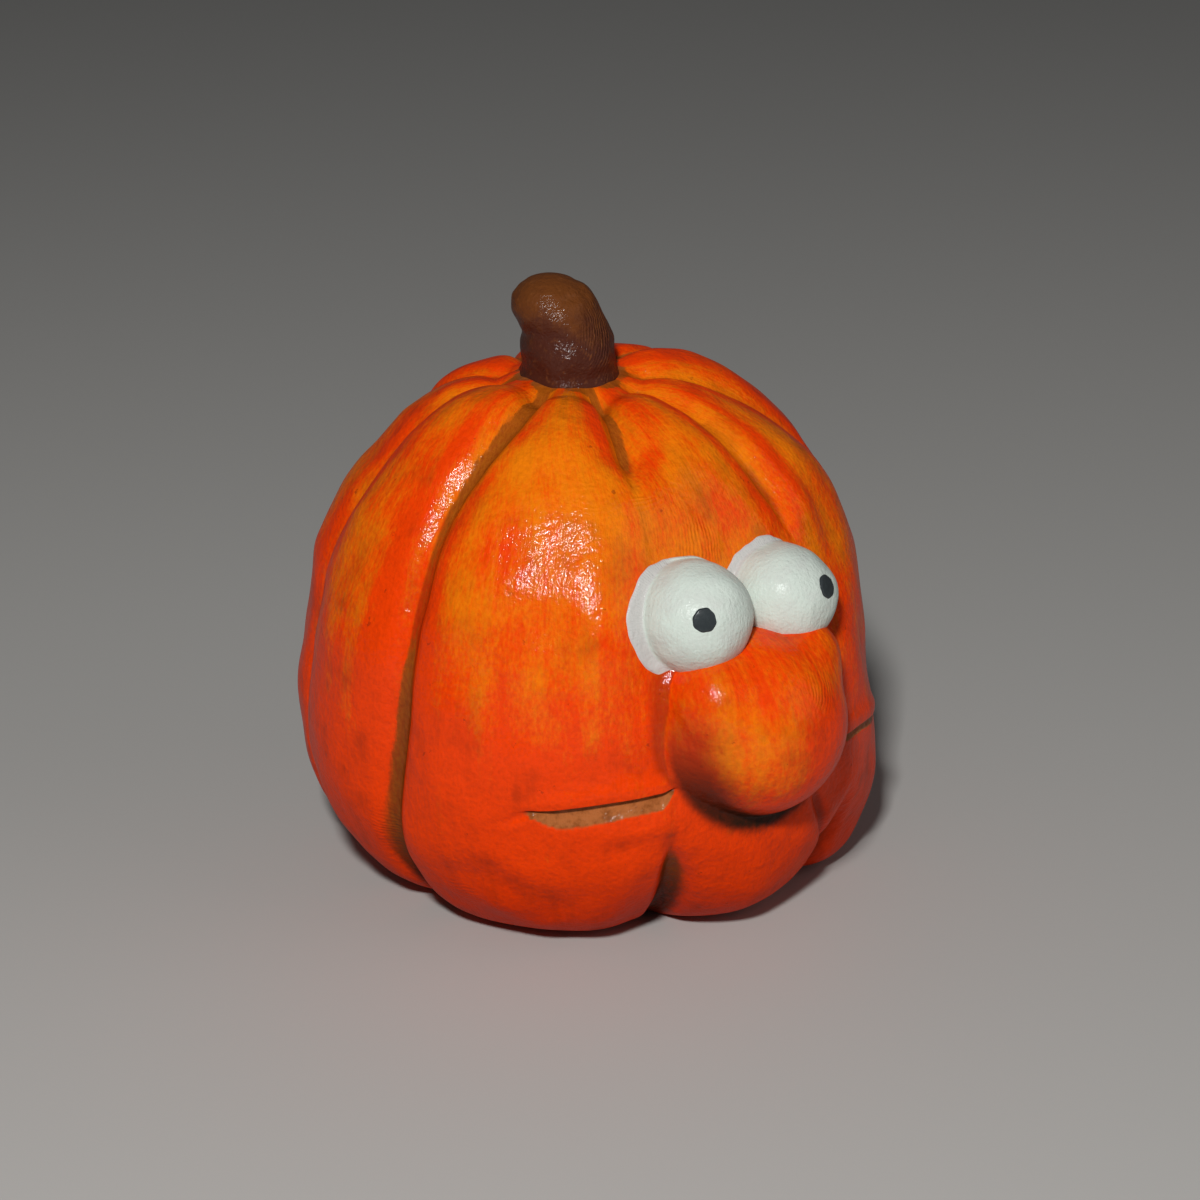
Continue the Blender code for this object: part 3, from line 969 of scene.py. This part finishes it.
    def surface(self) -> Skin:
        """Grid of the whole rind, whose columns follow the grooves and whose rows follow the mouth.

        Returns:
            The grid, with the values that the paint reads.
        """
        rows = self.rows()
        length, _, height, _, _ = self.profile()
        level = np.interp(rows, length, height)
        angle = []
        for k, places in enumerate(self.columns()):
            first = self.grooves[k].angle(level)
            turn = (self.grooves[(k + 1) % len(self.grooves)].angle(level) - first) % 360.0
            angle.append(first[:, None] + np.outer(turn, places))
        angle = np.hstack(angle)
        sag = self.mouth.line(angle) - self.mouth.height
        points, values = self.form(angle, rows[:, None] + sag * bell(rows, self.mouth_place(), 9.0)[:, None])
        skin = Skin(points)
        skin.values = values | {"fine_hollow": skin.hollow(3), "wide_hollow": skin.hollow(12)}
        return skin


@dataclass(frozen=True)
class FingerPrint:
    """Patch of a finger's ridges on the rind, at an angle and a height, with the ridges' slope."""

    angle: float
    height: float
    radius: float
    slope: float

    def spots(self, rind: Rind) -> tuple[Triple, Triple]:
        """Middle of the patch on the rind, and the core that its ridges bend round.

        Args:
            rind: The rind that carries the print.

        Returns:
            Both places in millimetres.
        """
        length, height = rind.climb()
        place = np.array([np.interp(self.height, height, length)])
        middle = rind.form(np.array([float(self.angle)]), place)[0][0]
        turn, slope = np.radians(self.angle), np.radians(self.slope)
        level = np.array([np.cos(turn), np.sin(turn), 0.0])
        core = middle - 4.0 * self.radius * np.sin(slope) * level
        core[2] += 4.0 * self.radius * np.cos(slope)
        return tuple(middle), tuple(core)


PRINTS = (
    FingerPrint(-8, 48.5, 4.2, 82), FingerPrint(-34, 53.5, 3.4, 0), FingerPrint(-20, 53.5, 3.0, 8),
    FingerPrint(-85, 12, 4.5, -8), FingerPrint(-66, 7, 3.6, 5), FingerPrint(3, 32, 3.2, 60),
    FingerPrint(118, 36, 4.5, 20), FingerPrint(178, 21, 4.8, -15), FingerPrint(-140, 45, 4.2, 30),
    FingerPrint(80, 30, 4.0, 60), FingerPrint(-172, 48, 3.6, 5), FingerPrint(45, 40, 3.0, 70),
)


@dataclass(frozen=True)
class PaintedRind:
    """Acrylic paint on polymer clay under satin varnish: streaky orange with an ochre wash in the grooves."""

    red_orange: str = "#EE3E00"
    yellow_orange: str = "#F07C06"
    deep_red: str = "#B82400"
    ochre: str = "#A05410"
    brown: str = "#70380E"
    near_black: str = "#2C1608"
    shade: str = "#7E2408"
    ledge: str = "#AC6434"
    dust: str = "#8C7450"
    print_period: float = 0.47

    def material(self, rind: Rind) -> Material:
        """Layers of paint from the base coat to the wash, painted shade in the hollows and under the nose,
        and the varnish over them.

        Args:
            rind: The rind, on which the places of the fingerprints are worked out.

        Returns:
            The material.
        """
        material = new_finish("painted_polymer_clay_orange", 0.5, 0.27, 0.1)
        tree = material.node_tree
        shader = tree.nodes[SHADER]
        place = millimetres(tree)
        height = add(tree, "SeparateXYZ", {0: place}).outputs[2]
        flow = add(tree, "Attribute", attribute_name="flow").outputs["Vector"]
        nose = read(tree, "nose")
        band = read(tree, "band")
        wide = read(tree, "wide_hollow")

        # Long strokes of thin yellow-orange along the ribs, over the red-orange base coat. They lie mostly
        # on the upper half and on the nose, and leave a brighter red border along the grooves.
        streak = grain(tree, flow, (0.42, 0.42, 0.055), 4.0)
        blot = grain(tree, place, 0.1)
        speck = grain(tree, place, 1.1, 3.0)
        fine = grain(tree, flow, (2.6, 2.6, 1.2), 3.0)
        high = ramp(tree, height, 8.0, 58.0, -0.34, 0.2)
        front = ramp(tree, away_from(tree, place, (-6.8, -38.0, 26.2)), 9.5, 1.0, -0.1, 0.44)
        face = ramp(tree, away_from(tree, place, (-12.0, -30.0, 44.0)), 20.0, 45.0, 0.04, -0.08)
        glaze = plus(tree, streak, 0.8, maths(tree, "ADD", high, face))
        glaze = plus(tree, blot, 1.0, glaze)
        glaze = plus(tree, band, -0.35, glaze)
        glaze = plus(tree, nose, front, glaze)
        glaze = plus(tree, fine, 0.6, glaze)
        colour = blend(tree, ramp(tree, glaze, 0.98, 1.62), self.red_orange, self.yellow_orange)
        # Deeper, darker red towards the foot: partly redder paint, partly painted shade.
        low = plus(tree, blot, 24.0, height)
        colour = blend(tree, ramp(tree, low, 29.0, 9.0, 0.0, 0.65), colour, self.deep_red)
        # Painted shade: brown-red in the wide hollows and round the nose; along its underside a near-black
        # painted shadow with some dark paint of the crease.
        colour = blend(tree, ramp(tree, wide, 0.1, 0.6, 0.0, 0.6), colour, self.shade)
        edge = plus(tree, speck, 0.3, read(tree, "nose_shade"))
        edge = times(tree, ramp(tree, edge, 0.2, 1.0), ramp(tree, height, 34.0, 23.0, 0.1, 1.0))
        colour = blend(tree, edge, colour, blend(tree, ramp(tree, height, 26.0, 17.0), self.shade, self.near_black))
        # Grime rubbed into the strokes, and nicks and pits that hold dark paint.
        grime = plus(tree, grain(tree, place, 0.16, 3.0), 0.8, times(tree, streak, 0.6))
        colour = blend(tree, ramp(tree, grime, 0.68, 1.0, 0.0, 0.45), colour, self.shade)
        nick = ramp(tree, grain(tree, place, 0.85, 4.0), 0.68, 0.74, 0.0, 0.5)
        colour = blend(tree, nick, colour, self.shade)
        # Darker between the tops of the orange peel: more paint in the pits, and partly painted shade there.
        peel = grain(tree, place, 1.8, 3.0)
        colour = blend(tree, ramp(tree, peel, 0.62, 0.3, 0.0, 0.14), colour, self.shade)
        # The wash that was left on the floors of the grooves: ragged and ochre above, a brown smear below.
        left = plus(tree, streak, 0.7, read(tree, "floor"))
        left = plus(tree, fine, 0.3, left)
        wash = blend(tree, ramp(tree, height, 46.0, 22.0, 0.0, 0.6), self.ochre, self.brown)
        wash = blend(tree, ramp(tree, height, 16.0, 4.0), wash, self.near_black)
        wash = blend(tree, ramp(tree, fine, 0.35, 0.7, 0.0, 0.5), wash, self.shade)
        wash = blend(tree, ramp(tree, height, 59.6, 60.6, 0.0, 0.5), wash, self.dust)
        crisp = ramp(tree, height, 12.0, 26.0, 0.72, 1.08)
        colour = blend(tree, ramp(tree, left, crisp, 1.3, 0.0, 0.92), colour, wash)
        dark = ramp(tree, grain(tree, place, 0.9, 4.0), 0.4, 0.75, 0.0, 0.75)
        lining = blend(tree, dark, self.ledge, self.brown)
        rim = ramp(tree, plus(tree, speck, 0.7, read(tree, "ledge")), 0.5, 1.05)
        colour = blend(tree, rim, colour, lining)
        # Painted shadow: near black along the mouth line, in the crease under the overhanging lip.
        colour = blend(tree, times(tree, read(tree, "slit"), 0.85), colour, self.near_black)
        paint(tree, colour)

        # Relief: orange peel of the varnish, brush hairs along the ribs and the ridges of fingerprints.
        hairs = grain(tree, flow, (3.0, 3.0, 0.35))
        bumps = plus(tree, hairs, 0.45, peel)
        lumps = plus(tree, grain(tree, place, 0.5), 2.0, bumps)
        relief(tree, maths(tree, "ADD", lumps, self.prints(tree, place, rind)), 0.13, 0.35)
        # The varnish is thinnest at the foot, which keeps the low ribs from mirroring the table.
        tree.links.new(ramp(tree, height, 3.0, 30.0, 0.05, 0.33), shader.inputs["Coat Weight"])
        tree.links.new(ramp(tree, blot, 0.3, 0.7, 0.44, 0.56), shader.inputs["Roughness"])
        return material

    def prints(self, tree: Tree, place: Socket, rind: Rind) -> Socket:
        """Fingerprint ridges: in each patch a sine over the distance from its core.

        Args:
            tree: Node tree that gets the nodes.
            place: Object coordinates in millimetres.
            rind: The rind that carries the prints.

        Returns:
            Height of the ridges, zero between the patches.
        """
        total = None
        bend = grain(tree, place, 0.3)
        for mark in PRINTS:
            middle, core = mark.spots(rind)
            mask = ramp(tree, away_from(tree, place, middle), mark.radius, 0.4 * mark.radius, 0.0, 0.15)
            span = plus(tree, bend, 1.2, away_from(tree, place, core))
            ridge = ridges(tree, span, self.print_period, mask)
            total = ridge if total is None else maths(tree, "ADD", total, ridge)
        return total


@dataclass(frozen=True)
class PaintedEye:
    """Off-white acrylic on polymer clay under satin varnish: cool white, pinkish grey on the thin skirt."""

    white: str = "#D1DBD1"
    skirt: str = "#C5C3BF"

    def material(self) -> Material:
        """Brushed white with fine relief, and the varnish over it."""
        material = new_finish("painted_polymer_clay_white", 0.5, 0.22, 0.2)
        tree = material.node_tree
        place = millimetres(tree)
        cloud = ramp(tree, grain(tree, place, 0.4, 3.0), 0.4, 0.8, 0.0, 0.4)
        skirt = read(tree, "skirt")
        colour = blend(tree, maths(tree, "MAXIMUM", cloud, skirt), self.white, self.skirt)
        paint(tree, colour)
        turns = maths(tree, "SINE", times(tree, read(tree, "turn"), 160.0))
        height = plus(tree, grain(tree, place, (2.4, 2.4, 0.4)), 0.7, grain(tree, place, 2.4, 3.0))
        folds = times(tree, skirt, ramp(tree, grain(tree, place, 0.3), 0.45, 0.6, 0.0, 0.1))
        height = plus(tree, turns, folds, height)
        relief(tree, height, 0.12, 0.4)
        return material


@dataclass(frozen=True)
class PaintedPupil:
    """Charcoal acrylic on polymer clay under satin varnish: nearly black with a soft shine."""

    charcoal: str = "#3E4446"
    near_black: str = "#282C2E"

    def material(self) -> Material:
        """Charcoal with a faint mottle and relief, and the varnish over it."""
        material = new_finish("painted_polymer_clay_charcoal", 0.45, 0.35, 0.2)
        tree = material.node_tree
        place = millimetres(tree)
        colour = blend(tree, grain(tree, place, 1.5, 3.0), self.near_black, self.charcoal)
        paint(tree, colour)
        relief(tree, grain(tree, place, 2.5), 0.05)
        return material


@dataclass(frozen=True)
class PaintedStem:
    """Brown acrylic on polymer clay under satin varnish: dark and reddish below, orange-brown on top."""

    low: str = "#4A2419"
    high: str = "#6A3A18"
    pale_brown: str = "#87512A"
    print_spot: Triple = (0.8, -1.0, 64.0)
    print_core: Triple = (-6.8, -2.0, 66.0)
    print_period: float = 0.38

    def material(self) -> Material:
        """Two browns, lighter flecks and a painted highlight along a fingerprint's ridges, and the varnish
        over them.
        """
        material = new_finish("painted_polymer_clay_brown", 0.5, 0.3, 0.16)
        tree = material.node_tree
        place = millimetres(tree)
        cloud = grain(tree, place, 0.25, 4.0)
        rise = plus(tree, cloud, 0.9, read(tree, "up"))
        colour = blend(tree, ramp(tree, rise, 0.8, 1.25), self.low, self.high)
        mask = ramp(tree, away_from(tree, place, self.print_spot), 7.0, 2.0, 0.0, 0.6)
        span = plus(tree, cloud, 1.5, away_from(tree, place, self.print_core))
        ridge = ridges(tree, span, self.print_period, mask)
        speck = grain(tree, place, 1.3, 3.0)
        # Lighter brown flecks at random, and a painted highlight on the fingerprint's ridge tops.
        lit = plus(tree, ridge, 0.3, speck)
        colour = blend(tree, ramp(tree, lit, 0.52, 0.9, 0.0, 0.7), colour, self.pale_brown)
        paint(tree, colour)
        relief(tree, plus(tree, ridge, 0.35, grain(tree, place, 2.0, 3.0)), 0.2, 0.4)
        return material


@dataclass(frozen=True)
class Studio:
    """Camera at the photograph's angle, a plain pale floor and soft light."""

    azimuth: float = -38.0
    elevation: float = 21.0
    distance: float = 420.0
    pixel: float = 0.1165
    frame: int = 1200
    aim: Triple = (0.0, 0.0, 25.0)
    aim_pixel: tuple[float, float] = (588.5, 658.4)
    sensor: float = 36.0

    def axes(self) -> tuple[Array, Array, Array]:
        """The camera's right, up and backward directions from its azimuth and elevation."""
        a, e = np.radians([self.azimuth, self.elevation])
        right = np.array([np.cos(a), np.sin(a), 0.0])
        up = np.array([-np.sin(a) * np.sin(e), np.cos(a) * np.sin(e), np.cos(e)])
        back = np.array([np.sin(a) * np.cos(e), -np.cos(a) * np.cos(e), np.sin(e)])
        return right, up, back

    def place_camera(self) -> None:
        """Sets the camera so that the aim shows at its pixel of the square frame."""
        right, up, back = self.axes()
        across = (self.aim_pixel[0] - 0.5 * self.frame) * self.pixel
        above = (0.5 * self.frame - self.aim_pixel[1]) * self.pixel
        spot = (np.array(self.aim) + back * self.distance - right * across - up * above) * MM
        data = bpy.data.cameras.new("camera")
        data.sensor_width = self.sensor
        data.lens = self.sensor * self.distance / (self.pixel * self.frame)
        data.clip_start = 0.01
        camera = link("camera", data)
        turn = Matrix((right, up, back)).transposed()
        camera.matrix_world = Matrix.Translation(Vector(spot)) @ turn.to_4x4()
        bpy.context.scene.camera = camera

    def place_light(self, name: str, direction: Triple, distance: float, size: float, power: float) -> None:
        """Adds a square soft light.

        Args:
            name: Name of the light.
            direction: Right, up and back shares of its direction, as the camera sees it.
            distance: Distance from the aim in millimetres.
            size: Side of the light in millimetres.
            power: Power in watts.
        """
        data = bpy.data.lights.new(name, "AREA")
        data.size = size * MM
        data.energy = power
        light = link(name, data)
        aim = Vector(self.aim) * MM
        light.location = aim + Vector(unit(np.array(direction) @ np.array(self.axes()))) * distance * MM
        light.rotation_mode = "QUATERNION"
        light.rotation_quaternion = (light.location - aim).to_track_quat("Z", "Y")

    def lay_floor(self) -> None:
        """Lays a wide pale floor."""
        half = 3.0
        mesh = bpy.data.meshes.new("floor")
        corners = [(-half, -half, 0), (half, -half, 0), (half, half, 0), (-half, half, 0)]
        mesh.from_pydata(corners, [], [(0, 1, 2, 3)])
        floor = link("floor", mesh)
        material = bpy.data.materials.new("matt_paper_pale_grey")
        material.use_nodes = True
        shader = material.node_tree.nodes[SHADER]
        shader.inputs["Base Color"].default_value = linear("#BAB8B4")
        shader.inputs["Roughness"].default_value = 0.9
        mesh.materials.append(material)

    def build(self) -> None:
        """Camera, floor, soft key, weak fill and an even pale world."""
        self.place_camera()
        self.lay_floor()
        self.place_light("key", (-0.08, 0.27, 0.96), 600.0, 46.0, 2.95)
        self.place_light("fill", (0.9, 0.3, 0.5), 700.0, 500.0, 0.35)
        world = bpy.data.worlds.new("studio")
        bpy.context.scene.world = world
        world.use_nodes = True
        background = world.node_tree.nodes["Background"]
        background.inputs["Color"].default_value = linear("#E6E9EC")
        background.inputs["Strength"].default_value = 0.06
        bpy.context.scene.view_settings.view_transform = "Standard"


EYES = (
    Eye(Side.RIGHT, (-6.85, -27.7, 40.25), (-0.20, -0.96, 0.12), (-0.47, -0.827, 0.315),
        (2.2, 1.2, 0.2, 0.0, 0.0, 0.0, 0.15, 1.4), 21, 6.3),
    Eye(Side.LEFT, (5.65, -27.6, 39.75), (0.20, -0.96, 0.12), (0.364, -0.89, 0.381),
        (0.0, 0.0, 0.7, 0.9, 0.3, 0.0, 0.0, 0.0), 34, 6.0),
)


def dress(name: str, skin: Skin, material: Material, node: str) -> None:
    """Makes a piece, gives it its finish and lets it stand for its solid.

    Args:
        name: Name of the piece.
        skin: Its surface.
        material: Its finish.
        node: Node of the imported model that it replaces.
    """
    piece = skin.to_object(name)
    piece.data.materials.append(material)
    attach(piece, "root")
    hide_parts(node)
    low, high = skin.points.min(axis=(0, 1)), skin.points.max(axis=(0, 1))
    LOG.info("%s: %d faces, %s to %s mm", name, len(piece.data.polygons), low.round(2), high.round(2))


def main() -> None:
    """Builds the studio and every piece."""
    logging.basicConfig(level=logging.INFO, format="%(message)s")
    Studio().build()
    rind = Rind()
    dress("rind_skin", rind.surface(), PaintedRind().material(rind), "pumpkin")
    white = PaintedEye().material()
    charcoal = PaintedPupil().material()
    for eye in EYES:
        dress(f"eyeball_{eye.tag}", eye.surface(rind), white, f"eye_{eye.tag}")
        dress(f"pupil_dot_{eye.tag}", Pupil(eye).surface(), charcoal, f"pupil_{eye.tag}")
    dress("stem_skin", Stem().surface(), PaintedStem().material(), "stem")


if __name__ == "__main__":
    main()
